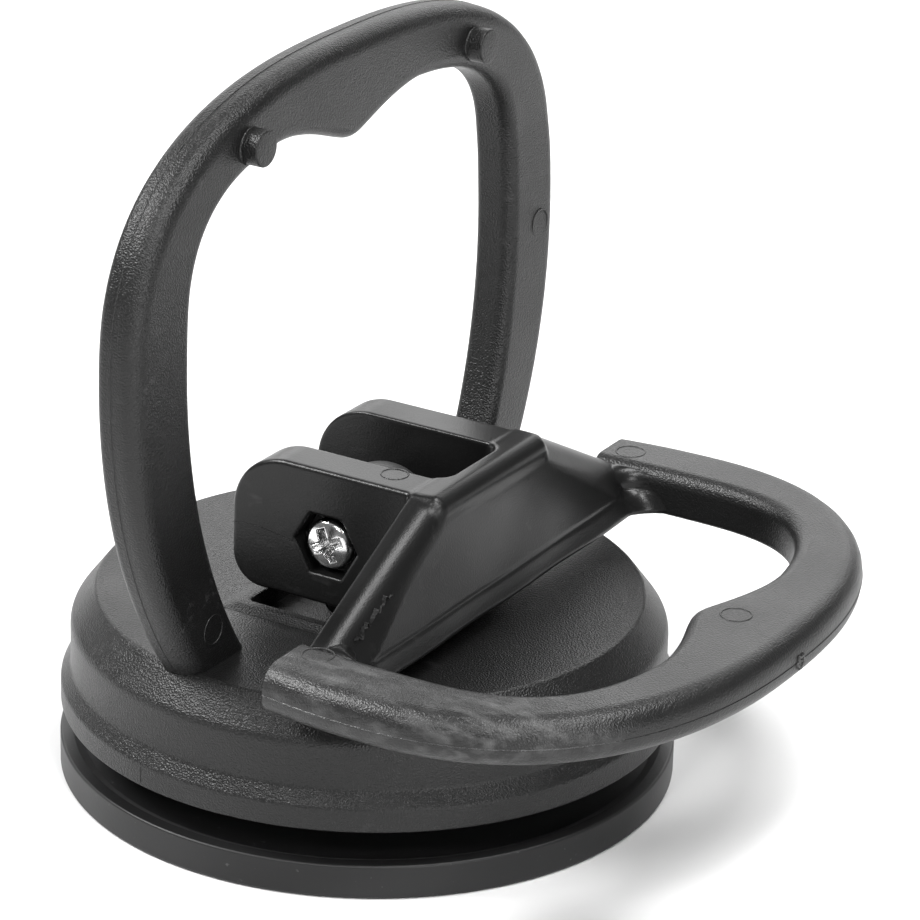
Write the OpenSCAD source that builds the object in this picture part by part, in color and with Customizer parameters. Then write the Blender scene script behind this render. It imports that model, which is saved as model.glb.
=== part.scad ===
// Vacuum suction cup with a fixed handle and a swinging release lever, shown released.
// Millimetres, +Z up. The origin is the centre of the rubber's underside, X runs from the
// pivot towards the lever's loop, and both handles are symmetrical about the XZ plane.

/* [Rubber cup] */
// Radius of the rubber disc
rubber_r = 27.9; // [27.8:0.1:28.4]
// Height of the upright rim
rim_h = 3.2; // [3:0.05:3.4]
// Depth of the hollow under the disc
dish_depth = 0.9; // [0.5:0.1:1.2]
// Width of the flat sealing lip
lip_w = 5.5; // [4:0.5:8]

/* [Cap] */
// Radius of the flange at the cap's lower edge
flange_r = 27.8; // [27.6:0.05:28]
// Open gap between the rubber rim and the flange when released
release_gap = 3.05; // [3:0.05:3.3]
// Radius of the upright wall
wall_r = 26.9; // [26.7:0.1:27.1]
// Radius of the flat top
flat_r = 24.6; // [24.2:0.1:24.9]
// Height of the flat top above the rubber's underside
cap_top = 17.05; // [17:0.05:17.1]
// Wall thickness of the moulding
wall = 2.2; // [2:0.1:2.5]
// Depth of the well that the ear ends turn in
well_depth = 1.6; // [1.6:0.05:1.7]

/* [Fixed handle] */
// Face of the handle towards the lever, at the height of the pegs
arch_front = -1.35; // [-1.6:0.05:-1.2]
// Thickness of the handle
arch_t = 4.0; // [3.8:0.1:4.6]
// Half width outside
arch_out_y = 34.3; // [33.9:0.1:34.7]
// Half width inside
arch_in_y = 25.9; // [25.6:0.1:26.4]
// Height of its crown
arch_top = 68.2; // [68:0.1:69.4]
// Lean of the handle towards the lever, in degrees
arch_lean = 1.3; // [0.5:0.1:1.6]
// Diameter of the two stop pegs
peg_d = 3.0; // [2.8:0.1:3.2]
// Length of the two stop pegs
peg_len = 1.6; // [1.4:0.1:1.7]

/* [Lever] */
// Distance of the pivot from the centre of the cup
pivot_x = 0.8; // [0.8:0.1:0.9]
// Height of the pivot
pivot_z = 24.05; // [24:0.05:24.1]
// Top face of the loop
loop_top = 23.1; // [23.05:0.05:23.15]
// Thickness of the loop
loop_t = 4.3; // [4:0.1:4.4]
// Half width of the loop outside
loop_out_y = 32.0; // [31.6:0.1:32.4]
// Half width of the loop inside
loop_in_y = 24.8; // [24.4:0.1:25]
// Reach of the loop from the centre of the cup
loop_reach = 42.8; // [42.5:0.1:43.4]
// Outside half width of the two ears
ear_out_y = 9.0; // [8.8:0.1:9.2]
// Thickness of each ear
ear_t = 4.2; // [4.1:0.1:4.3]

/* [Fasteners] */
// Diameter of the pivot screw
screw_d = 3.0; // [2.9:0.05:3]
// Diameter of its head
head_d = 4.6; // [4.4:0.1:5]
// Width across the flats of the nut
nut_af = 5.5; // [5.4:0.05:5.5]
// Thickness of the nut
nut_h = 2.4; // [2.2:0.1:2.4]

/* [Hidden] */
$fn = 96;
eps = 0.01;

// Cap profile heights
flange_z = rim_h + release_gap;
flange_top = flange_z + 2.2;
shoulder_top = flange_z + 3.6;
chamfer_z = cap_top - 3.0;

// Stem, its plate, and the rubber hub round them
stem_x = pivot_x;
stem_d = 9.0;
stem_top = pivot_z + 0.2;
hub_r = 13;
hub_top = 6.4;
plate_r = 9.5;
plate_z = 2.4;
plate_t = 1.8;

// Well under the ears, and the sleeve that guides the stem
guide_d = stem_d + 0.6;
well_x = pivot_x - 7.4;
well_l = 15;
well_w = 19.4;
well_floor = cap_top - well_depth;
sleeve_low = hub_top + release_gap + 0.4;
rib_t = 1.6;

// Fixed handle
crown_z = 45.4;
crown_n = 2.4;
scallop_z = arch_top - 6.7;
scallop_n = 3.6;
out_bend = 48;
in_bend = 51;
foot_z = cap_top - 1.5;
peg_y = 18.0;
peg_z = 62.75;

// Finger bump between two scallops
bump_h = 3.1;
bump_half = 11.5;
edge = 0.7;

// Lever
loop_mid = 17.5;
loop_start = 8.9;
scallop_x = loop_reach - 7.4;
ear_in_y = ear_out_y - ear_t;
ear_back = pivot_x - 9.8;
ear_low = pivot_z - 5.65;
ear_r_low = 3.0;
ear_r_high = 5.5;
slot_end = 10.3;
ridge_x = 12.3;
ridge_z = pivot_z + 7.05;
ear_high = ridge_z;
bridge_low = 18.9;
bridge_y = 24.3;
bridge_x = 9.3;
lip_x = 14.6;
groove_x = 13.6;
face_w = 2.2;

// Fasteners and their pockets
recess_af = nut_af + 0.15;
screw_pocket = 1.8;
nut_pocket = 2.6;
head_t = 1.9;
pin_hole = screw_d + 0.2;
running_hole = screw_d + 0.1;
head_seat = -ear_out_y + screw_pocket;
nut_seat = ear_out_y - nut_pocket;

// Part of a superellipse, from its widest point (a, 0) up to the angle t1
function crown(a, b, n, t1 = 90, steps = 24) =
    [for (i = [0 : steps]) let (t = t1 * i / steps)
        [a * pow(cos(t), 2 / n), b * pow(sin(t), 2 / n)]];

// Height of the finger bump at a distance y from the middle
function bump(y) = bump_h * pow(max(0, 1 - sqrt(y * y + 0.36) / bump_half), 1.6);

// The same superellipse from y = bump_half to the middle, with the bump on it
function brow(a, b, n, steps = 14) =
    [for (i = [1 : steps]) let (y = bump_half * (1 - i / steps))
        [y, b * pow(1 - pow(y / a, n), 1 / n) - bump(y)]];

// Side of a leg that curves inwards below its widest point, from z0 up towards 0
function leg(y, r, z0, steps = 8) =
    [for (i = [0 : steps - 1]) let (z = z0 * (1 - i / steps)) [y - r + sqrt(r * r - z * z), z]];

// A half outline that ends in the middle, followed by its mirror image
function both(h) = concat(h, [for (i = [len(h) - 2 : -1 : 0]) [-h[i][0], h[i][1]]]);

// Horseshoe outlines about a widest point at height 0, with legs down to z0
function shoe_out(y, top, n, r, z0, cut) =
    both(concat(leg(y - cut, r - cut, z0), crown(y - cut, top - cut, n)));
function shoe_in(y, top, n, r, z0, cut) =
    let (a = y + cut, b = top + cut)
        both(concat(leg(a, r + cut, z0), crown(a, b, n, acos(pow(bump_half / a, n / 2))), brow(a, b, n)));

// Rectangle with two rounded corners on its left side
module rounded_box(x0, z0, x1, z1, r_low, r_high) {
    translate([x0 + r_low, z0]) square([x1 - x0 - r_low, r_low]);
    translate([x0, z0 + r_low]) square([x1 - x0, z1 - z0 - r_low - r_high]);
    translate([x0 + r_high, z1 - r_high]) square([x1 - x0 - r_high, r_high]);
    translate([x0 + r_low, z0 + r_low]) circle(r_low);
    translate([x0 + r_high, z1 - r_high]) circle(r_high);
}

// Extrudes a drawing of the XZ plane between two places on Y
module across_y(y0, y1) {
    translate([0, y1, 0]) rotate([90, 0, 0]) linear_extrude(y1 - y0) children();
}

// Extrudes a drawing of the YZ plane between two places on X
module across_x(x0, x1) {
    translate([x0, 0, 0]) rotate([90, 0, 90]) linear_extrude(x1 - x0) children();
}

// Cylinder along Z between two heights
module post(x, z0, z1, d) {
    translate([x, 0, z0]) cylinder(d = d, h = z1 - z0);
}

// Cylinder along Y on the pivot
module pin(y0, y1, d) {
    translate([pivot_x, y1, pivot_z]) rotate([90, 0, 0]) cylinder(d = d, h = y1 - y0);
}

// Hexagonal prism along Y on the pivot, with flats at top and bottom
module hex_prism(y0, y1, af) {
    translate([pivot_x, y1, pivot_z]) rotate([90, 0, 0])
        cylinder(d = af / cos(30), h = y1 - y0, $fn = 6);
}

module rubber_cup() {
    color([0.08, 0.08, 0.08])
    difference() {
        rotate_extrude() polygon([
            [0, dish_depth], [rubber_r - lip_w - 6, dish_depth], [rubber_r - lip_w, 0],
            [rubber_r - 0.3, 0], [rubber_r, 0.3], [rubber_r, rim_h - 0.4], [rubber_r - 0.4, rim_h],
            [hub_r + 3, rim_h], [hub_r, hub_top], [0, hub_top]]);
        // Socket that the insert is moulded into
        post(0, plate_z, plate_z + plate_t, 2 * plate_r);
        post(stem_x, plate_z, hub_top + 1, stem_d);
    }
}

module stem_insert() {
    color([0.12, 0.12, 0.12])
    difference() {
        union() {
            post(0, plate_z, plate_z + plate_t, 2 * plate_r);
            post(stem_x, plate_z, stem_top, stem_d);
            translate([stem_x, 0, stem_top]) sphere(d = stem_d);
        }
        pin(-10, 10, running_hole);
    }
}

module cap_shell() {
    difference() {
        rotate_extrude() polygon([
            [0, flange_z], [flange_r, flange_z], [flange_r, flange_top], [wall_r, shoulder_top],
            [wall_r, chamfer_z], [flat_r, cap_top], [0, cap_top]]);
        // Hollow underside
        rotate_extrude() polygon([
            [0, flange_z - 1], [wall_r - wall, flange_z - 1], [wall_r - wall, chamfer_z - 1],
            [flat_r - wall, cap_top - wall], [0, cap_top - wall]]);
    }
    // Thick floor of the well
    translate([well_x - wall, -well_w / 2 - wall, well_floor - wall])
        cube([well_l + 2 * wall, well_w + 2 * wall, wall + eps]);
    // Sleeve, and ribs that tie it to the wall
    post(stem_x, sleeve_low, cap_top - wall + eps, guide_d + 4);
    for (a = [30 : 60 : 330])
        rotate([0, 0, a]) translate([guide_d / 2 + 0.5, -rib_t / 2, well_floor - wall - 1])
            cube([wall_r - wall - guide_d / 2, rib_t, 2 * wall]);
}

// Flat horseshoe of thickness t. Two thin outer layers stand in for the rounded edges.
module horseshoe(t, out_y, out_top, in_y, in_top, in_n, r_out, r_in, z0) {
    for (layer = [[0, t, edge], [edge, t - edge, 0]])
        translate([0, 0, layer[0]]) linear_extrude(layer[1] - layer[0])
            difference() {
                polygon(shoe_out(out_y, out_top, crown_n, r_out, z0, layer[2]));
                polygon(shoe_in(in_y, in_top, in_n, r_in, z0 - 1, layer[2]));
            }
}

module arch() {
    // The lean turns about the height of the pegs
    translate([arch_front, 0, peg_z]) rotate([0, arch_lean, 0])
        translate([-arch_t, 0, crown_z - peg_z]) rotate([90, 0, 90])
            horseshoe(arch_t, arch_out_y, arch_top - crown_z, arch_in_y, scallop_z - crown_z,
                      scallop_n, out_bend, in_bend, foot_z - crown_z - 2);
}

module cap_handle() {
    color([0.1, 0.1, 0.1])
    difference() {
        union() {
            cap_shell();
            // Legs end on the cap
            difference() {
                arch();
                translate([-50, -50, -1]) cube([100, 100, foot_z + 1]);
            }
            // Stop pegs for the closed lever
            for (side = [-1, 1])
                translate([arch_front - 1, side * peg_y, peg_z]) rotate([0, 90, 0])
                    cylinder(d = peg_d, h = peg_len + 1);
        }
        post(stem_x, flange_z, cap_top + 1, guide_d);
        translate([well_x, -well_w / 2, well_floor]) cube([well_l, well_w, well_depth + 1]);
    }
}

// Loop, drawn reaching along the drawing's Y and laid down to reach along X
module loop() {
    translate([loop_mid, 0, loop_top - loop_t]) rotate([0, 0, -90])
        horseshoe(loop_t, loop_out_y, loop_reach - loop_mid, loop_in_y, scallop_x - loop_mid,
                  3.3, 53, 120, loop_start - loop_mid);
}

// Gable-shaped wall between the two legs of the loop
module bridge() {
    across_x(bridge_x, ridge_x)
        polygon([[-bridge_y - 1.5, bridge_low], [-bridge_y - 1.5, loop_top - 0.6],
                 [-bridge_y, loop_top], [-ear_out_y, ridge_z], [ear_out_y, ridge_z],
                 [bridge_y, loop_top], [bridge_y + 1.5, loop_top - 0.6],
                 [bridge_y + 1.5, bridge_low]]);
    // Panel that flares forwards towards its lower lip
    intersection() {
        across_x(ridge_x - 1, lip_x + 1)
            polygon([[-bridge_y + face_w, bridge_low - 1], [-bridge_y + face_w, bridge_low + 1.5],
                     [-ear_out_y + 0.3, ridge_z - 1.3], [ear_out_y - 0.3, ridge_z - 1.3],
                     [bridge_y - face_w, bridge_low + 1.5], [bridge_y - face_w, bridge_low - 1]]);
        across_y(-40, 40)
            polygon([[ridge_x - 0.5, bridge_low], [lip_x, bridge_low], [lip_x, bridge_low + 0.5],
                     [groove_x, bridge_low + 2.2], [ridge_x, ridge_z - 1.3],
                     [ridge_x - 0.5, ridge_z - 1.3]]);
    }
}

module ears() {
    for (y0 = [-ear_out_y, ear_in_y])
        across_y(y0, y0 + ear_t)
            rounded_box(ear_back, ear_low, ridge_x - 1, ear_high, ear_r_low, ear_r_high);
    // Wall that closes the slot between them
    translate([slot_end, -ear_in_y - eps, ear_low])
        cube([ridge_x - 1 - slot_end, 2 * ear_in_y + 2 * eps, ridge_z - ear_low]);
}

module lever() {
    color([0.1, 0.1, 0.1])
    difference() {
        union() {
            ears();
            bridge();
            loop();
        }
        pin(-12, 12, pin_hole);
        hex_prism(-ear_out_y - 1, head_seat, recess_af);
        hex_prism(nut_seat, ear_out_y + 1, recess_af);
    }
}

module pivot_screw() {
    color([0.75, 0.76, 0.78])
    difference() {
        union() {
            pin(head_seat - eps, nut_seat + nut_h, screw_d);
            // Pan head
            translate([pivot_x, head_seat, pivot_z]) rotate([90, 0, 0]) rotate_extrude()
                polygon([[0, 0], [head_d / 2, 0], [head_d / 2, 0.9], [head_d / 2 - 0.35, 1.5],
                         [head_d / 2 - 1, head_t - 0.1], [0, head_t]]);
        }
        // Cross recess
        for (a = [25, 115])
            translate([pivot_x, head_seat - head_t, pivot_z]) rotate([0, a, 0])
                translate([-1.3, -0.5, -0.35]) cube([2.6, 1.7, 0.7]);
    }
}

module pivot_nut() {
    color([0.75, 0.76, 0.78])
    difference() {
        hex_prism(nut_seat, nut_seat + nut_h, nut_af);
        pin(-12, 12, screw_d);
    }
}

rubber_cup();
stem_insert();
cap_handle();
lever();
pivot_screw();
pivot_nut();
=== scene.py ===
"""Looks of a vacuum suction cup: black moulded plastic, rubber and a plated screw.

Lengths are in millimetres in the row frame until a mesh is made, which is in metres.
Solids are made in three ways: turned profiles, bars swept along a horseshoe, and
distance fields, which give the small moulded blends between walls.
"""

import math

import bmesh
import bpy
import numpy as np
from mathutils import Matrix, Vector


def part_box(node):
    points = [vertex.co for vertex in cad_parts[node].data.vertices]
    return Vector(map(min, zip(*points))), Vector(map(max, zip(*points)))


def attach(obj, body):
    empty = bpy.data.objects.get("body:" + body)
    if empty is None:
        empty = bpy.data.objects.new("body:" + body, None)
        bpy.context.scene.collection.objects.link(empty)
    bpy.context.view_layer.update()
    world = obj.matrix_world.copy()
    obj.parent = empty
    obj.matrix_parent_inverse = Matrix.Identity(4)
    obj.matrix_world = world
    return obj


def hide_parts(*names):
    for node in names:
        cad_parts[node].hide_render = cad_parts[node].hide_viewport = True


MM = 0.001
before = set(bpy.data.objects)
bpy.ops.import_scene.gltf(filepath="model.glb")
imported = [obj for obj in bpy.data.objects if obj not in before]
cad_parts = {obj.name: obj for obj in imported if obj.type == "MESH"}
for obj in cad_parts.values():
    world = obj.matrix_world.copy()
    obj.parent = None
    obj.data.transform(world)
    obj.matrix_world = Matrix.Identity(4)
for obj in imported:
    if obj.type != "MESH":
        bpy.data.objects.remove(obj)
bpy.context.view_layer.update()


def mm_box(node):
    """Lowest and highest corner of a CAD node, in millimetres."""
    low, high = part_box(node)
    return low / MM, high / MM


# ---------------------------------------------------------------- driving dimensions
CUP_LOW, CUP_HIGH = mm_box("rubber_cup")
CAP_LOW, CAP_HIGH = mm_box("cap_handle")
LEVER_LOW, LEVER_HIGH = mm_box("lever")
SCREW_LOW, SCREW_HIGH = mm_box("pivot_screw")
NUT_LOW, NUT_HIGH = mm_box("pivot_nut")

PIVOT_X = (NUT_LOW.x + NUT_HIGH.x) / 2
PIVOT_Z = (NUT_LOW.z + NUT_HIGH.z) / 2
RUBBER_R = CUP_HIGH.x
RIM_H = 3.2
DISH = 0.9
HUB_TOP = CUP_HIGH.z

FLANGE_Z = CAP_LOW.z
FLANGE_R = CAP_HIGH.x
WALL_R = FLANGE_R - 0.9
FLAT_R = 24.6
CAP_TOP = 17.05
WALL = 2.2
WELL_FLOOR = CAP_TOP - 1.6
WELL_HALF = (7.5, 9.7)
WELL_X = PIVOT_X + 0.1
CURB_H = 0.34

ARCH_FRONT = -1.35
ARCH_T = 4.0
ARCH_LEAN = math.tan(math.radians(1.3))
ARCH_MID = 45.4
PEG_Y = 18.0
PEG_Z = 62.75
PEG_R = 1.5
PEG_END = ARCH_FRONT + 1.6

LOOP_TOP = 23.1
LOOP_T = 4.3
LOOP_MID = 17.5
LOOP_START = 8.9
LOOP_ASIDE = 0.2
LOOP_INNER_Y = 24.7
EAR_Y = 9.0
SLOT_Y = 4.8
SLOT_END = 10.3
RIDGE_X = 12.3
RIDGE_Z = LEVER_HIGH.z
BRIDGE_LOW = 18.9
BRIDGE_BACK = 9.3
STRUT_Y = 26.5
STRUT_SIDE_Z = 22.0
GABLE_Y = 24.3
FINE_PITCH = 0.07
NUT_PITCH = 0.1
YOKE_PITCH = 0.16

SHANK_R = 1.5
BORE_R = 1.6
HEX_AF = 5.65
NUT_AF = 5.5
SCREW_SEAT = -7.2
NUT_SEAT = NUT_LOW.y

CREASE = math.radians(32)


# ---------------------------------------------------------------- mesh helpers
def new_object(name, points, faces):
    """Mesh object from points in millimetres."""
    mesh = bpy.data.meshes.new(name)
    mesh.from_pydata(np.asarray(points, float) * MM, [], faces)
    mesh.validate()
    made = bpy.data.objects.new(name, mesh)
    bpy.context.scene.collection.objects.link(made)
    bm = bmesh.new()
    bm.from_mesh(mesh)
    bmesh.ops.remove_doubles(bm, verts=bm.verts, dist=1e-7)
    bmesh.ops.recalc_face_normals(bm, faces=bm.faces)
    bm.to_mesh(mesh)
    bm.free()
    return made


def skin(name, rings, ends=True):
    """Joins closed rings of equal length into one surface, with flat ends."""
    count = len(rings[0])
    faces = []
    for i in range(len(rings) - 1):
        a, b = i * count, (i + 1) * count
        for k in range(count):
            n = (k + 1) % count
            faces.append((a + k, a + n, b + n, b + k))
    if ends:
        faces.append(tuple(range(count)))
        faces.append(tuple((len(rings) - 1) * count + k for k in range(count)))
    return new_object(name, [p for ring in rings for p in ring], faces)


def smooth(made):
    """Smooth shading that stays crisp where faces meet at more than the crease angle."""
    mesh = made.data
    mesh.shade_smooth()
    mesh.set_sharp_from_angle(angle=CREASE)
    modifier = made.modifiers.new("weighted", "WEIGHTED_NORMAL")
    modifier.keep_sharp = True
    return made


def apply_modifiers(made):
    """Replaces the mesh by its evaluated one."""
    graph = bpy.context.evaluated_depsgraph_get()
    mesh = bpy.data.meshes.new_from_object(made.evaluated_get(graph))
    made.modifiers.clear()
    made.data = mesh


def combine(made, tool, operation):
    """Exact boolean of made with tool, which is used up."""
    modifier = made.modifiers.new("boolean", "BOOLEAN")
    modifier.operation = operation
    modifier.solver = "EXACT"
    modifier.object = tool
    bpy.context.view_layer.update()
    apply_modifiers(made)
    bpy.data.objects.remove(tool)


def join(made, others):
    """Puts the meshes of others into made."""
    bm = bmesh.new()
    bm.from_mesh(made.data)
    for other in others:
        bm.from_mesh(other.data)
        bpy.data.objects.remove(other)
    bm.to_mesh(made.data)
    bm.free()


def rounded(points, radii, steps=5):
    """Open outline whose inner corners are arcs of the given radii."""
    out = [points[0]]
    for i in range(1, len(points) - 1):
        here = np.array(points[i], float)
        before = np.array(points[i - 1], float) - here
        after = np.array(points[i + 1], float) - here
        u, v = before / np.linalg.norm(before), after / np.linalg.norm(after)
        half = math.acos(max(-1.0, min(1.0, float(u @ v)))) / 2
        radius = radii[i]
        if radius <= 0 or half > 1.56:
            out.append(tuple(here))
            continue
        reach = radius / math.tan(half)
        centre = here + (u + v) / np.linalg.norm(u + v) * radius / math.sin(half)
        start, end = here + u * reach - centre, here + v * reach - centre
        turn = math.pi - 2 * half
        for k in range(steps + 1):
            f = k / steps
            mix = (math.sin((1 - f) * turn) * start + math.sin(f * turn) * end) / math.sin(turn)
            out.append(tuple(centre + mix))
    out.append(points[-1])
    return out


def turned(name, profile, centre=(0.0, 0.0), segments=256):
    """Solid of revolution about a vertical axis. Profile is (radius, height), ends at radius 0."""
    angles = np.linspace(0, 2 * math.pi, segments, endpoint=False)
    points, faces, rows = [], [], []
    for r, z in profile:
        if r < 1e-6:
            rows.append([len(points)])
            points.append((centre[0], centre[1], z))
        else:
            rows.append(list(range(len(points), len(points) + segments)))
            points += [(centre[0] + r * math.cos(a), centre[1] + r * math.sin(a), z) for a in angles]
    for a, b in zip(rows, rows[1:]):
        for k in range(segments):
            n = (k + 1) % segments
            face = [a[k % len(a)], a[n % len(a)], b[n % len(b)], b[k % len(b)]]
            faces.append(tuple(dict.fromkeys(face)))
    return new_object(name, points, faces)


def rectangle_loft(name, levels, centre, steps=5):
    """Closed solid through rectangles with round corners, (half x, half y, corner radius, z)."""
    rings = []
    for hx, hy, r, z in levels:
        ring = []
        for sx, sy, start in ((1, 1, 0), (-1, 1, 90), (-1, -1, 180), (1, -1, 270)):
            for k in range(steps + 1):
                a = math.radians(start + 90 * k / steps)
                ring.append((centre[0] + sx * (hx - r) + r * math.cos(a),
                             centre[1] + sy * (hy - r) + r * math.sin(a), z))
        rings.append(ring)
    return skin(name, rings)


# ---------------------------------------------------------------- horseshoe bars
class Horseshoe:
    """Outer and inner outline of a handle, across its width and along its reach.

    Each outline is (half width, reach, power of its crown). The reach is counted from the
    widest point, bends are the radii of the legs below it, and foot is where they end.
    lump is the height of the bump between the finger scallops, and lump_at its place.
    """

    def __init__(self, outer, inner, bends, foot, lump, lump_at):
        self.out_y, self.out_top, self.out_n = outer
        self.in_y, self.in_top, self.in_n = inner
        self.out_bend, self.in_bend = bends
        self.foot = foot
        self.lump, self.lump_at = lump, lump_at

    def stations(self):
        """Pairs of outer and inner points from one foot to the other, closer at the scallops."""
        half = []
        for along in np.linspace(self.foot, 0, 24)[:-1]:
            half.append(((self.leg(self.out_y, self.out_bend, along), along),
                         (self.leg(self.in_y, self.in_bend, along), along)))
        turn = math.radians(60)
        angles = list(np.linspace(0, turn, 30))
        widths = np.linspace(self.in_y * math.cos(turn) ** (2 / self.in_n), 0, 56)[1:]
        angles += [math.acos(min(1.0, (w / self.in_y) ** (self.in_n / 2))) for w in widths]
        for t in angles:
            outer = self.crown(self.out_y, self.out_top, self.out_n, t)
            inner = self.crown(self.in_y, self.in_top, self.in_n, t)
            half.append((outer, inner))
        other = [((-o[0], o[1]), (-i[0], i[1])) for o, i in reversed(half[:-1])]
        return [(o, (i[0], i[1] - self.bump(i[0]) if i[1] > 0 else i[1])) for o, i in half + other]

    @staticmethod
    def leg(width, bend, along):
        """Half width of a leg that bends inwards on a large radius."""
        return width - bend + math.sqrt(bend ** 2 - along ** 2)

    @staticmethod
    def crown(width, top, n, t):
        """Point of a superellipse of power n."""
        return width * max(0.0, math.cos(t)) ** (2 / n), top * math.sin(t) ** (2 / n)

    def bump(self, across):
        """Height of the lump between two finger scallops, with a blunt tip."""
        half_width, tip, power = 11.5, 1.1, 1.6
        return self.lump * max(0.0, 1 - math.hypot(across - self.lump_at, tip) / half_width) ** power


def bar_section(width, thick, outer, inner, steps=6):
    """Closed outline of a bar, (distance from its outer side, height), with a fine parting line.

    outer and inner are the radii of that side's low and high edge.
    """
    corners = ((outer[0], outer[0], outer[0], 180),
               (width - inner[0], inner[0], inner[0], 270),
               (width - inner[1], thick - inner[1], inner[1], 0),
               (outer[1], thick - outer[1], outer[1], 90))
    outline = [(s + r * math.cos(math.radians(a + 90 * k / steps)),
                t + r * math.sin(math.radians(a + 90 * k / steps)))
               for s, t, r, a in corners for k in range(steps + 1)]
    middle = (outer[0] + thick - outer[1]) / 2
    line_half, line_high = 0.07, 0.06
    return outline + [(0, middle + line_half), (-line_high, middle), (0, middle - line_half)]


def sweep_bar(name, shoe, thick, outer_radii, inner_radii, place):
    """Bar along a horseshoe. place(across, along, height) gives a point of the row frame."""
    rings = []
    for outer, inner in shoe.stations():
        o, i = np.array(outer), np.array(inner)
        width = np.linalg.norm(i - o)
        step = (i - o) / width
        section = bar_section(width, thick, outer_radii, inner_radii)
        rings.append([place(*(o + step * s), t) for s, t in section])
    return skin(name, rings)


# ---------------------------------------------------------------- distance fields
def round_and(a, b, r):
    """Intersection of two solids with an edge of radius r."""
    outside = np.hypot(np.maximum(a + r, 0), np.maximum(b + r, 0))
    return outside + np.minimum(np.maximum(a + r, b + r), 0) - r


def blend_or(a, b, k):
    """Union of two solids with a blend of about k."""
    h = np.maximum(k - np.abs(a - b), 0) / k
    return np.minimum(a, b) - h * h * k / 4


def fillet_or(a, b, radius):
    """Union of two distances with a round fillet in the hollow between them."""
    u, v = np.maximum(radius - a, 0), np.maximum(radius - b, 0)
    return np.maximum(radius, np.minimum(a, b)) - np.hypot(u, v)


def polygon_distance(u, v, corners):
    """Signed distance to a polygon."""
    u, v = np.broadcast_arrays(np.asarray(u, float), np.asarray(v, float))
    best = np.full(u.shape, np.inf)
    sign = np.ones(u.shape)
    for (ax, ay), (bx, by) in zip(corners, corners[1:] + corners[:1]):
        ex, ey = bx - ax, by - ay
        wx, wy = u - ax, v - ay
        t = np.clip((wx * ex + wy * ey) / (ex * ex + ey * ey), 0, 1)
        best = np.minimum(best, (wx - ex * t) ** 2 + (wy - ey * t) ** 2)
        up, down = v >= ay, v < by
        left = ex * wy > ey * wx
        flip = (up & down & left) | (~up & ~down & ~left)
        sign = np.where(flip, -sign, sign)
    return sign * np.sqrt(best)


def rectangle_distance(u, v, low, high, radii):
    """Rectangle with corner radii (low u low v, low u high v, high u low v, high u high v)."""
    cu, cv = (low[0] + high[0]) / 2, (low[1] + high[1]) / 2
    u, v = u - cu, v - cv
    r = np.where(u < 0, np.where(v < 0, radii[0], radii[1]), np.where(v < 0, radii[2], radii[3]))
    qu = np.abs(u) - (high[0] - low[0]) / 2 + r
    qv = np.abs(v) - (high[1] - low[1]) / 2 + r
    return np.minimum(np.maximum(qu, qv), 0) + np.hypot(np.maximum(qu, 0), np.maximum(qv, 0)) - r


def hexagon_distance(u, v, across_flats):
    """Hexagon with flats at high and low v."""
    return np.maximum(np.abs(v), np.abs(u) * math.cos(math.pi / 6) + np.abs(v) / 2) - across_flats / 2


def cell_mesh(value, low, pitch):
    """One vertex in each grid cell that the surface crosses, and a quad round each crossed edge."""
    inside = value < 0
    corner = [inside[i:value.shape[0] - 1 + i, j:value.shape[1] - 1 + j, k:value.shape[2] - 1 + k]
              for i in (0, 1) for j in (0, 1) for k in (0, 1)]
    active = np.logical_or.reduce(corner) & ~np.logical_and.reduce(corner)
    index = np.full(active.shape, -1)
    index[active] = np.arange(active.sum())
    cells = np.argwhere(active)
    total, number = np.zeros(cells.shape), np.zeros(len(cells))
    for axis in range(3):
        unit = np.eye(3, dtype=int)[axis]
        one, two = np.eye(3, dtype=int)[(axis + 1) % 3], np.eye(3, dtype=int)[(axis + 2) % 3]
        for start in (0 * one, one, two, one + two):
            a, b = value[tuple((cells + start).T)], value[tuple((cells + start + unit).T)]
            crossed = (a < 0) != (b < 0)
            share = np.where(crossed, a / np.where(crossed, a - b, 1), 0)
            total += np.where(crossed[:, None], start + share[:, None] * unit, 0)
            number += crossed
    points = low + pitch * (cells + total / number[:, None])
    faces = []
    for axis in range(3):
        unit = np.eye(3, dtype=int)[axis]
        one, two = np.eye(3, dtype=int)[(axis + 1) % 3], np.eye(3, dtype=int)[(axis + 2) % 3]
        last = np.array(value.shape) - 1 - unit
        a = inside[:last[0] + 1, :last[1] + 1, :last[2] + 1]
        b = inside[unit[0]:, unit[1]:, unit[2]:]
        edges = np.argwhere(a != b)
        edges = edges[(edges[:, (axis + 1) % 3] > 0) & (edges[:, (axis + 2) % 3] > 0)]
        ring = [index[tuple((edges - d).T)] for d in (0 * one, one, one + two, two)]
        quads = np.stack(ring, 1)
        outward = inside[tuple(edges.T)]
        faces.append(np.where(outward[:, None], quads, quads[:, ::-1]))
    return points, np.concatenate(faces)


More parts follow.
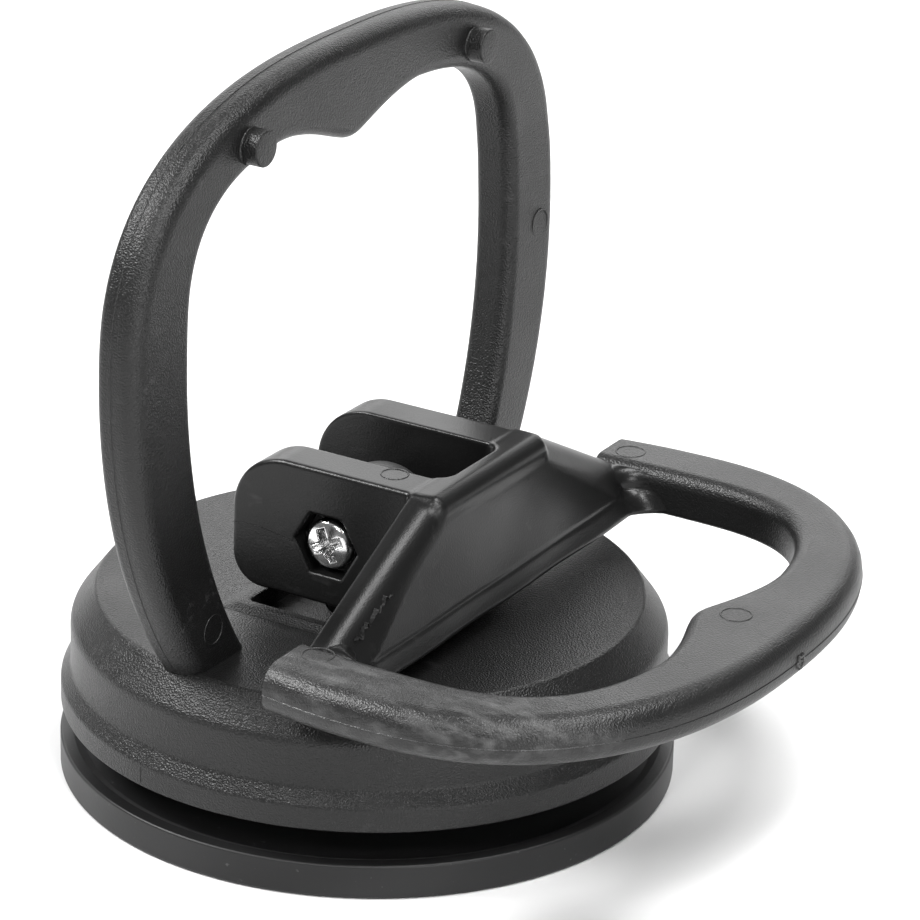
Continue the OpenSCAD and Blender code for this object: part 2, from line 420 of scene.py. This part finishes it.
def field_solid(name, distance, low, high, pitch):
    """Mesh of the surface where distance(x, y, z) is zero, with its vertices settled on it."""
    low = np.array(low, float) - 2 * pitch
    size = np.ceil((np.array(high, float) + 2 * pitch - low) / pitch).astype(int)
    x, y, z = (low[k] + pitch * np.arange(size[k]) for k in range(3))
    value = np.array(np.broadcast_to(distance(x[:, None, None], y[None, :, None], z[None, None, :]),
                                     tuple(size)))
    points, faces = cell_mesh(value, low, pitch)
    step = 0.2 * pitch
    for _ in range(3):
        here = distance(*points.T)
        slope = np.stack([(distance(*(points + step * d).T) - here) / step for d in np.eye(3)], 1)
        size2 = np.maximum((slope ** 2).sum(1), 0.05)
        move = -(here / size2)[:, None] * slope
        points = points + np.clip(move, -0.6 * pitch, 0.6 * pitch)
    mesh = bpy.data.meshes.new(name)
    mesh.from_pydata(points * MM, [], faces.tolist())
    made = bpy.data.objects.new(name, mesh)
    bpy.context.scene.collection.objects.link(made)
    mesh.shade_smooth()
    return made


# ---------------------------------------------------------------- materials
class Graph:
    """Short-hand for a material's node tree."""

    def __init__(self, name):
        self.material = bpy.data.materials.new(name)
        self.material.use_nodes = True
        self.nodes = self.material.node_tree.nodes
        self.links = self.material.node_tree.links
        self.shader = self.nodes["Principled BSDF"]
        self.place = self.node("ShaderNodeTexCoord").outputs["Object"]

    def node(self, kind, **settings):
        made = self.nodes.new(kind)
        for key, value in settings.items():
            setattr(made, key, value)
        return made

    def put(self, socket, value):
        if isinstance(value, bpy.types.NodeSocket):
            self.links.new(value, socket)
        else:
            socket.default_value = value

    def math(self, operation, a, b):
        made = self.node("ShaderNodeMath", operation=operation)
        self.put(made.inputs[0], a)
        self.put(made.inputs[1], b)
        return made.outputs[0]

    def noise(self, scale, detail=2.0, roughness=0.5, stretch=(1, 1, 1), shift=0.0):
        mapping = self.node("ShaderNodeMapping")
        self.put(mapping.inputs["Vector"], self.place)
        mapping.inputs["Scale"].default_value = stretch
        mapping.inputs["Location"].default_value = (shift, shift, shift)
        made = self.node("ShaderNodeTexNoise")
        self.put(made.inputs["Vector"], mapping.outputs[0])
        made.inputs["Scale"].default_value = scale
        made.inputs["Detail"].default_value = detail
        made.inputs["Roughness"].default_value = roughness
        return made.outputs["Fac"]

    def ramp(self, value, low, high, out_low=0.0, out_high=1.0):
        made = self.node("ShaderNodeMapRange", clamp=True)
        for socket, number in zip(made.inputs, (value, low, high, out_low, out_high)):
            self.put(socket, number)
        return made.outputs[0]

    def colour(self, share, a, b):
        made = self.node("ShaderNodeMix", data_type="RGBA")
        self.put(made.inputs["Factor"], share)
        made.inputs["A"].default_value = (*a, 1)
        made.inputs["B"].default_value = (*b, 1)
        return made.outputs["Result"]

    def bump(self, height, strength, distance):
        made = self.node("ShaderNodeBump")
        self.put(made.inputs["Height"], height)
        self.put(made.inputs["Strength"], strength)
        made.inputs["Distance"].default_value = distance
        return made.outputs["Normal"]


def plastic(name, grain=1.0, rough=0.38, dark=0.005, scuffs=0.3, cover=0.0, near_end=False,
            shine=0.38):
    """Black moulded plastic: spark-eroded grain, patchy gloss, fine scratches and pale scuffs.

    cover is how far the scuffs spread, and near_end keeps them to the near end of the loop.
    """
    g = Graph(name)
    patch = g.noise(95, 3, 0.55, shift=3.1)
    peel = g.noise(6400, 0.0, 0.5)
    fine = g.noise(11000, 0.0, 0.5, shift=7.7)
    streak = g.noise(900, 2.0, 0.6, stretch=(0.4, 1, 1), shift=1.7)
    worn = g.math("MULTIPLY", g.ramp(streak, 0.60 - cover, 0.80), g.ramp(patch, 0.50 - cover, 0.66))
    if near_end:
        across = g.node("ShaderNodeSeparateXYZ")
        g.put(across.inputs[0], g.place)
        worn = g.math("MULTIPLY", worn, g.ramp(across.outputs["Y"], -16 * MM, -25 * MM))
    worn = g.math("MULTIPLY", worn, scuffs)
    pale = dark * 17
    g.put(g.shader.inputs["Base Color"], g.colour(worn, (dark,) * 3, (pale,) * 3))
    uneven = g.ramp(patch, 0.3, 0.7, rough - 0.04, rough + 0.05)
    g.put(g.shader.inputs["Roughness"], g.math("ADD", uneven, g.math("MULTIPLY", worn, 0.12)))
    g.shader.inputs["Specular IOR Level"].default_value = shine
    height = g.math("ADD", peel, g.math("MULTIPLY", fine, 0.35))
    g.put(g.shader.inputs["Normal"], g.bump(height, grain, 0.00006))
    return g.material


def rubber():
    """Smooth black rubber with a soft sheen and a little dust."""
    g = Graph("rubber_black")
    patch = g.noise(70, 3, 0.5)
    dust = g.ramp(g.noise(1500, 2, 0.6, shift=4.0), 0.70, 0.78)
    g.put(g.shader.inputs["Base Color"], g.colour(dust, (0.004, 0.004, 0.0043), (0.05, 0.05, 0.05)))
    g.put(g.shader.inputs["Roughness"], g.ramp(patch, 0.3, 0.7, 0.40, 0.52))
    g.shader.inputs["Sheen Weight"].default_value = 0.03
    g.shader.inputs["Specular IOR Level"].default_value = 0.4
    g.put(g.shader.inputs["Normal"], g.bump(g.noise(3200, 1, 0.5), 0.15, 0.00004))
    return g.material


def plated_steel():
    """Bright plating with drag marks and slight dulling."""
    g = Graph("plated_steel")
    patch = g.noise(900, 3, 0.6)
    drag = g.noise(2600, 2, 0.6, stretch=(1, 0.2, 1))
    g.shader.inputs["Metallic"].default_value = 1.0
    g.put(g.shader.inputs["Base Color"], g.colour(patch, (0.80, 0.80, 0.79), (0.62, 0.62, 0.63)))
    g.put(g.shader.inputs["Roughness"], g.ramp(patch, 0.3, 0.7, 0.10, 0.24))
    g.put(g.shader.inputs["Normal"], g.bump(g.math("ADD", patch, drag), 0.35, 0.00003))
    return g.material


def pale_floor():
    """Pale matt paper."""
    g = Graph("floor_paper")
    g.put(g.shader.inputs["Base Color"], g.colour(g.noise(8, 2, 0.5), (0.72,) * 3, (0.74,) * 3))
    g.shader.inputs["Roughness"].default_value = 0.9
    g.shader.inputs["Specular IOR Level"].default_value = 0.1
    return g.material


def dress(made, material, body, replaced=()):
    """Gives a piece its material and body, and hides the CAD nodes it stands for."""
    made.data.materials.clear()
    made.data.materials.append(material)
    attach(made, body)
    if replaced:
        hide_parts(*replaced)
    return made


# ---------------------------------------------------------------- rubber disc
def make_rubber():
    """Rubber disc with a flat sealing lip, an upright rim and a hub round the stem."""
    hub_r = 13.0
    points = [(0, DISH), (RUBBER_R - 11.5, DISH), (RUBBER_R - 5.5, 0), (RUBBER_R, 0), (RUBBER_R, RIM_H),
              (RUBBER_R - 1.2, RIM_H), (RUBBER_R - 2.0, RIM_H - 0.35), (hub_r + 3.2, RIM_H - 0.2),
              (hub_r, HUB_TOP), (0, HUB_TOP)]
    radii = [0, 2, 1.5, 0.35, 0.25, 0.3, 0.5, 1.5, 1.0, 0]
    return smooth(turned("rubber_disc", rounded(points, radii)))


# ---------------------------------------------------------------- cap
def make_cap_shell():
    """Turned shell with a curbed well under the ears and a round guide for the stem."""
    inner = WALL_R - WALL
    points = [(0, CAP_TOP - WALL), (FLAT_R - WALL, CAP_TOP - WALL), (inner, CAP_TOP - 4), (inner, FLANGE_Z),
              (FLANGE_R, FLANGE_Z), (FLANGE_R, FLANGE_Z + 2.2), (WALL_R, FLANGE_Z + 3.6),
              (WALL_R, CAP_TOP - 3.0), (FLAT_R, CAP_TOP), (0, CAP_TOP)]
    radii = [0, 0.5, 0.5, 0.3, 0.3, 0.7, 0.9, 1.6, 0.5, 0]
    shell = turned("cap_and_handle", rounded(points, radii))
    hx, hy = WELL_HALF
    centre = (WELL_X, 0.0)
    top = CAP_TOP + CURB_H
    block = rectangle_loft("block", [(hx + 1.5, hy + 1.5, 1.0, WELL_FLOOR - WALL),
                                     (hx + 1.5, hy + 1.5, 1.0, CAP_TOP - 0.3)], centre)
    curb = rectangle_loft("curb", [(hx + 2.1, hy + 2.1, 0.9, CAP_TOP - 0.4),
                                   (hx + 2.1, hy + 2.1, 0.9, CAP_TOP + 0.02),
                                   (hx + 1.75, hy + 1.75, 0.8, CAP_TOP + 0.08),
                                   (hx + 1.1, hy + 1.1, 0.6, top - 0.05),
                                   (hx + 0.9, hy + 0.9, 0.6, top)], centre)
    sleeve_r, sleeve_low, sleeve_high = 6.8, HUB_TOP + 3.45, WELL_FLOOR - 1
    sleeve = turned("sleeve", [(0, sleeve_low), (sleeve_r, sleeve_low),
                               (sleeve_r, sleeve_high), (0, sleeve_high)], (PIVOT_X, 0.0), 96)
    cavity = rectangle_loft("cavity", [(hx, hy, 0.5, WELL_FLOOR), (hx, hy, 0.5, top - 0.25),
                                       (hx + 0.08, hy + 0.08, 0.5, top - 0.08),
                                       (hx + 0.3, hy + 0.3, 0.5, top + 0.02),
                                       (hx + 0.3, hy + 0.3, 0.5, top + 1)], centre)
    guide_r = 4.8
    guide = turned("guide", [(0, 5), (guide_r, 5), (guide_r, 22), (0, 22)], (PIVOT_X, 0.0), 96)
    for solid in (block, curb, sleeve):
        combine(shell, solid, "UNION")
    for hollow in (cavity, guide):
        combine(shell, hollow, "DIFFERENCE")
    return shell


def arch_face(z, across):
    """Front of the fixed handle at a height. Its far leg stands a little forward, as moulded."""
    forward = max(0.0, 52 - z) * (0.040 + 0.022 * max(-1.0, min(1.0, across / 15)))
    return ARCH_FRONT + (z - PEG_Z) * ARCH_LEAN + forward


def make_arch():
    """Fixed handle, which leans a little towards the lever."""
    top = CAP_HIGH.z - ARCH_MID
    shoe = Horseshoe((CAP_HIGH.y - 0.1, top - 0.2, 2.6), (25.8, top - 6.6, 3.6), (48, 51),
                     CAP_TOP - 1.0 - ARCH_MID, 3.3, -1.3)

    def place(across, along, height):
        z = ARCH_MID + along
        return arch_face(z, across) - ARCH_T + height, across, z

    return sweep_bar("arch", shoe, ARCH_T, (0.8, 1.75), (0.7, 1.4), place)


def make_peg(side):
    """Stop peg with a slightly rounded end."""
    length = PEG_END - ARCH_FRONT
    wide = PEG_R + 0.08
    root = wide + 0.1
    profile = rounded([(0, -1.0), (root, -1.0), (root, -0.02), (wide, 0.1), (wide, length), (0, length)],
                      [0, 0, 0, 0.05, 0.16, 0])
    peg = turned("peg", profile, segments=48)
    for v in peg.data.vertices:
        r = Vector(v.co)
        v.co = Vector((ARCH_FRONT * MM + r.z, side * PEG_Y * MM + r.x, PEG_Z * MM + r.y))
    return peg


# ---------------------------------------------------------------- lever
def lever_ears(x, y, z):
    """The two ears as one block, before the slot parts them."""
    low, high = (LEVER_LOW.x, LEVER_LOW.z), (RIDGE_X - 0.5, RIDGE_Z)
    block = rectangle_distance(x, z, low, high, (3.0, 5.5, 0.3, 0.3))
    return round_and(block, np.abs(y) - EAR_Y, 0.45)


def lever_wall(x, y, z):
    """Gable-shaped wall from strut to strut, with a rounded front edge."""
    gable = [(-STRUT_Y, BRIDGE_LOW), (-STRUT_Y, STRUT_SIDE_Z), (-GABLE_Y, LOOP_TOP), (-EAR_Y, RIDGE_Z),
             (EAR_Y, RIDGE_Z), (GABLE_Y, LOOP_TOP), (STRUT_Y, STRUT_SIDE_Z), (STRUT_Y, BRIDGE_LOW)]
    wall = polygon_distance(y, z, gable)
    wall = round_and(wall, x - RIDGE_X, 2.1)
    return round_and(wall, BRIDGE_BACK - x, 0.35)


def lever_panel(x, y, z):
    """Panel that flares forward below the ridge, with a fine groove and slight unevenness."""
    fall = np.clip((RIDGE_Z - 1.5 - z) / 10.7, 0, 1.1)
    groove = 0.09 * np.exp(-((z - 21.0) / 0.2) ** 2)
    wave = 0.08 * np.sin(0.42 * y + 0.9) * np.sin(0.55 * z + 0.4) * np.clip(4 * fall, 0, 1)
    front = (x - RIDGE_X + 0.25 - 2.3 * fall ** 2.1 + groove + wave) * 0.92
    front = round_and(round_and(front, BRIDGE_LOW - z, 0.5), RIDGE_X - 1.5 - x, 0.1)
    foot_y, foot_z, top_y, top_z = 25.2, BRIDGE_LOW + 0.6, EAR_Y + 0.2, RIDGE_Z - 1.7
    span = [(-foot_y, BRIDGE_LOW - 1), (-foot_y, foot_z), (-top_y, top_z),
            (top_y, top_z), (foot_y, foot_z), (foot_y, BRIDGE_LOW - 1)]
    return round_and(front, polygon_distance(y, z, span), 1.1)


def lever_corner(x, y, z, panel):
    """Upright fillet between the front of the wall and the inside of the loop."""
    away = np.abs(y - LOOP_ASIDE)
    corner = fillet_or(np.minimum(x - RIDGE_X, panel), LOOP_INNER_Y + 0.12 - away, 3.4)
    corner = np.maximum(np.maximum(corner, away - 25.4), np.maximum(RIDGE_X - 2 - x, x - RIDGE_X - 5.6))
    corner = round_and(corner, z - LOOP_TOP + 0.05, 1.5)
    return round_and(corner, LOOP_TOP - LOOP_T + 0.05 - z, 0.5)


def lever_block(x, y, z):
    """Ears, ridge, struts and flared panel, blended as one moulding."""
    panel = lever_panel(x, y, z)
    ridge_r = 1.05
    bar = np.hypot(x - RIDGE_X + 0.7, z - RIDGE_Z + ridge_r) - ridge_r
    bar = round_and(bar, np.abs(y) - EAR_Y - 0.1, 0.8)
    solid = blend_or(blend_or(lever_wall(x, y, z), panel, 1.9), bar, 0.9)
    solid = blend_or(np.minimum(solid, lever_corner(x, y, z, panel)), lever_ears(x, y, z), 0.5)
    slot = rectangle_distance(x, y, (-30, -SLOT_Y), (SLOT_END, SLOT_Y), (0, 0, 1.7, 1.7))
    solid = round_and(solid, -slot, 0.3)
    u, w = x - PIVOT_X, z - PIVOT_Z
    hexagon = hexagon_distance(u, w, HEX_AF)
    near = np.maximum(hexagon, y - SCREW_SEAT)
    far = np.maximum(hexagon, NUT_SEAT - y)
    bore = np.hypot(u, w) - BORE_R
    for hollow in (near, far, bore):
        solid = round_and(solid, -hollow, 0.12)
    return solid


def make_lever_block():
    """Mesh of the ears, struts and panel."""
    reach_y = STRUT_Y + 0.3
    low = (LEVER_LOW.x, -reach_y, LEVER_LOW.z - 0.5)
    high = (RIDGE_X + 7.0, reach_y, RIDGE_Z + 0.3)
    return field_solid("lever_yoke", lever_block, low, high, YOKE_PITCH)


def make_loop():
    """Flat loop of the lever, which sits slightly to one side."""
    reach = LEVER_HIGH.x - LOOP_MID
    shoe = Horseshoe((LEVER_HIGH.y + 0.1, reach, 2.35), (LOOP_INNER_Y, reach - 7.6, 3.3), (53, 120),
                     LOOP_START - LOOP_MID, 3.2, -0.4)

    def place(across, along, height):
        return LOOP_MID + along, across + LOOP_ASIDE, LOOP_TOP - LOOP_T + height

    return sweep_bar("lever_loop", shoe, LOOP_T, (1.6, 2.1), (0.5, 1.5), place)


# ---------------------------------------------------------------- moulding marks
def frame_at(centre, normal):
    """A point on a surface, its normal and two directions across the surface."""
    n = Vector(normal).normalized()
    u = n.orthogonal().normalized()
    return Vector(centre), n, u, n.cross(u)


def ring_mark(centre, normal, radius=1.35, thick=0.085, ragged=0.0):
    """Witness ring of an ejector pin or gate, half sunk in the surface."""
    c, n, u, v = frame_at(centre, normal)
    rings = []
    for k in range(64):
        a = 2 * math.pi * k / 64
        r = radius * (1 + ragged * (math.sin(5 * a + 1) + 0.6 * math.sin(11 * a)))
        out = u * math.cos(a) + v * math.sin(a)
        rings.append([c + out * (r + thick * math.cos(b)) + n * thick * 0.7 * math.sin(b)
                      for b in (math.radians(60 * j) for j in range(6))])
    rings.append(rings[0])
    return skin("ring_mark", rings, ends=False)


def fin(path, heights, normal, across, width=0.05):
    """Thin closed sliver of moulding flash along a path."""
    n, w = Vector(normal).normalized(), Vector(across).normalized() * width
    rings = []
    for point, height in zip(path, heights):
        p = Vector(point)
        root, tip = p - n * 0.15, p + n * height
        rings.append([root - w, root + w, tip + w * 0.4, tip - w * 0.4])
    return skin("fin", rings)


def lever_marks():
    """Ejector rings, gate, parting line and flash on the lever."""
    top = (0, 0, 1)
    marks = [ring_mark((36.3, 0.5, LOOP_TOP), top), ring_mark((11.2, 27.6, LOOP_TOP), top),
             ring_mark((11.2, -26.3, LOOP_TOP), top), ring_mark((5.9, -6.0, RIDGE_Z), top, 1.2)]
    rim = LEVER_HIGH.x + 0.02
    marks.append(ring_mark((rim, 0, 20.6), (1, 0, 0), 0.5, 0.22, 0.16))
    marks.append(ring_mark((rim, 0.1, 20.5), (1, 0, 0), 0.2, 0.16, 0.2))
    steps = 40
    path = [(-8.95 + 6.2 * k / steps, -EAR_Y, PIVOT_Z + 0.25 * math.sin(k / 9)) for k in range(steps + 1)]
    marks.append(fin(path, [0.05] * len(path), (0, -1, 0), (0, 0, 1)))
    path, heights = [], []
    for k in range(61):
        f = k / 60
        wave = math.sin(23 * f) + 0.6 * math.sin(51 * f + 1)
        path.append((RIDGE_X - 0.02, -16.6 - 5.6 * f, 25.6 - 2.5 * f - 0.24 * wave))
        heights.append(0.14 + 0.24 * abs(math.sin(9 * f + 0.4)) * abs(math.sin(31 * f)))
    marks.append(fin(path, heights, (1, 0, 0.1), (0, 0.46, 0.89), 0.08))
    return marks


def arch_marks():
    """Ejector rings on the front of the fixed handle, and the mould's parting line on the flange."""
    turn = math.radians(-103)
    out = Vector((math.cos(turn), math.sin(turn), 0))
    seam = [out * (FLANGE_R - 0.02) + Vector((0, 0, FLANGE_Z + 0.4 + 0.15 * k)) for k in range(11)]
    return [ring_mark((arch_face(42.2, 30.9), 30.9, 42.2), (1, 0, 0), 1.35),
            ring_mark((arch_face(20.6, -22.6), -22.6, 20.6), (1, 0, 0), 1.35),
            fin(seam, [0.05] * len(seam), out, (-out.y, out.x, 0), 0.07)]


# ---------------------------------------------------------------- fasteners
def screw_shape(x, y, z):
    """Pan head with a tapered cross recess, on a plain shank."""
    u, w = x - PIVOT_X, z - PIVOT_Z
    r = np.hypot(u, w)
    depth = SCREW_SEAT - y
    head_t = SCREW_SEAT - SCREW_LOW.y
    dome = np.hypot(r, depth + 3.4) - (head_t + 3.4)
    head = round_and(round_and(dome, r - 2.38, 0.45), -depth, 0.1)
    turn = math.radians(25)
    a = np.abs(u * math.cos(turn) + w * math.sin(turn))
    b = np.abs(-u * math.sin(turn) + w * math.cos(turn))
    down = head_t - depth
    wing = 1.7 - 0.45 * down
    width = 0.44 - 0.12 * down
    cross = np.minimum(np.maximum(a - wing, b - width), np.maximum(b - wing, a - width))
    cross = np.minimum(cross, r - (0.78 - 0.2 * down))
    cross = np.maximum(cross, down - 1.5)
    head = round_and(head, -cross, 0.09)
    shank = np.maximum(r - SHANK_R, np.maximum(SCREW_SEAT - 0.2 - y, y - SCREW_HIGH.y))
    return np.minimum(head, shank)


def nut_shape(x, y, z):
    """Hexagonal nut with chamfered corners and a counter-sunk hole."""
    u, w = x - PIVOT_X, z - PIVOT_Z
    r = np.hypot(u, w)
    body = round_and(hexagon_distance(u, w, NUT_AF), np.abs(y - (NUT_LOW.y + NUT_HIGH.y) / 2) - 1.2, 0.12)
    cone = (r - 3.0 + 1.7 * (y - NUT_HIGH.y + 0.25)) / 2
    body = round_and(body, cone, 0.05)
    sink = (r - 1.75 - 0.9 * (y - NUT_HIGH.y)) / 1.35
    return np.maximum(body, -np.minimum(r - SHANK_R, sink))


# ---------------------------------------------------------------- camera, light and floor
def make_camera():
    """Long lens from the near side and above, with a slight roll."""
    azimuth, elevation, roll = math.radians(30.275), math.radians(22.389), math.radians(1.666)
    distance, aside, above = 372.88, 8.471, 26.798
    back = Vector((math.sin(azimuth) * math.cos(elevation), -math.cos(azimuth) * math.cos(elevation),
                   math.sin(elevation)))
    right = Vector((math.cos(azimuth), math.sin(azimuth), 0))
    up = back.cross(right)
    side = math.cos(roll) * right + math.sin(roll) * up
    top = -math.sin(roll) * right + math.cos(roll) * up
    data = bpy.data.cameras.new("camera")
    data.sensor_width = 36
    data.lens = 159.63
    data.clip_start, data.clip_end = 0.01, 10
    camera = bpy.data.objects.new("camera", data)
    bpy.context.scene.collection.objects.link(camera)
    matrix = camera.matrix_world.copy()
    for k in range(3):
        matrix[k][0], matrix[k][1], matrix[k][2] = side[k], top[k], back[k]
    matrix.translation = (back * distance + side * aside + top * above) * MM
    camera.matrix_world = matrix
    bpy.context.scene.camera = camera


def area_light(name, place, target, size, power, size_y=None):
    """Soft box at a place in metres, aimed at the target."""
    data = bpy.data.lights.new(name, "AREA")
    data.energy = power
    data.size = size
    if size_y:
        data.shape = "RECTANGLE"
        data.size_y = size_y
    light = bpy.data.objects.new(name, data)
    light.location = place
    light.rotation_mode = "QUATERNION"
    light.rotation_quaternion = (Vector(target) - Vector(place)).to_track_quat("-Z", "Y")
    bpy.context.scene.collection.objects.link(light)


def make_studio():
    """Six soft boxes, a pale room and a pale paper floor."""
    scene = bpy.context.scene
    scene.view_settings.view_transform = "Standard"
    world = bpy.data.worlds.new("studio")
    world.use_nodes = True
    world.node_tree.nodes["Background"].inputs["Color"].default_value = (1, 1, 1, 1)
    world.node_tree.nodes["Background"].inputs["Strength"].default_value = 0.2
    scene.world = world
    middle = (0, 0, 0.03)
    area_light("back", (-0.62, 1.06, 0.60), middle, 1.7, 12.0, 0.9)
    area_light("top", (0.30, 0.10, 0.98), middle, 0.36, 7.0)
    area_light("left", (-0.64, -0.36, 0.78), middle, 0.3, 12.5)
    area_light("front", (0.10, -0.82, 0.70), middle, 0.22, 3.2, 0.16)
    area_light("right", (0.85, -0.50, 0.22), middle, 0.22, 3.4, 0.4)
    area_light("brow", (0.56, -0.40, 0.78), middle, 0.26, 5.4)
    far = 3000
    floor = new_object("floor", [(-far, -far, 0), (far, -far, 0), (far, far, 0), (-far, far, 0)],
                       [(0, 1, 2, 3)])
    floor.data.materials.append(pale_floor())


def make_stem():
    """Keeps the CAD stem and gives it a moulded plastic."""
    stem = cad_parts["stem_insert"]
    stem.data.materials.clear()
    stem.data.materials.append(plastic("stem_plastic", grain=0.3, rough=0.45, dark=0.04))


def make_screw():
    """Pivot screw."""
    edge = Vector((2.6, 0, 2.6))
    centre = Vector((PIVOT_X, 0, PIVOT_Z))
    low = centre - edge + Vector((0, SCREW_LOW.y, 0))
    high = centre + edge + Vector((0, SCREW_HIGH.y, 0))
    return field_solid("screw", screw_shape, low, high, FINE_PITCH)


def make_nut():
    """Pivot nut."""
    spare = Vector((0.1, 0, 0.1))
    return field_solid("nut", nut_shape, NUT_LOW - spare, NUT_HIGH + spare, NUT_PITCH)


def build():
    """Makes the studio and every piece, with its material and body."""
    make_camera()
    make_studio()
    black = plastic("black_plastic_grained")
    sleek = plastic("black_plastic_smooth", grain=0.18, rough=0.32, shine=0.3)
    worn = plastic("black_plastic_worn", grain=0.7, dark=0.007, scuffs=0.8, cover=0.16,
                   near_end=True, shine=0.42)
    steel = plated_steel()
    dress(make_rubber(), rubber(), "cup", ["rubber_cup"])
    make_stem()

    shell = make_cap_shell()
    join(shell, [make_arch(), make_peg(-1), make_peg(1)] + arch_marks())
    dress(smooth(shell), black, "cap", ["cap_handle"])

    dress(make_lever_block(), sleek, "lever", ["lever"])
    loop = make_loop()
    join(loop, lever_marks())
    dress(smooth(loop), worn, "lever")

    dress(make_screw(), steel, "lever", ["pivot_screw"])
    dress(make_nut(), steel, "lever", ["pivot_nut"])


build()
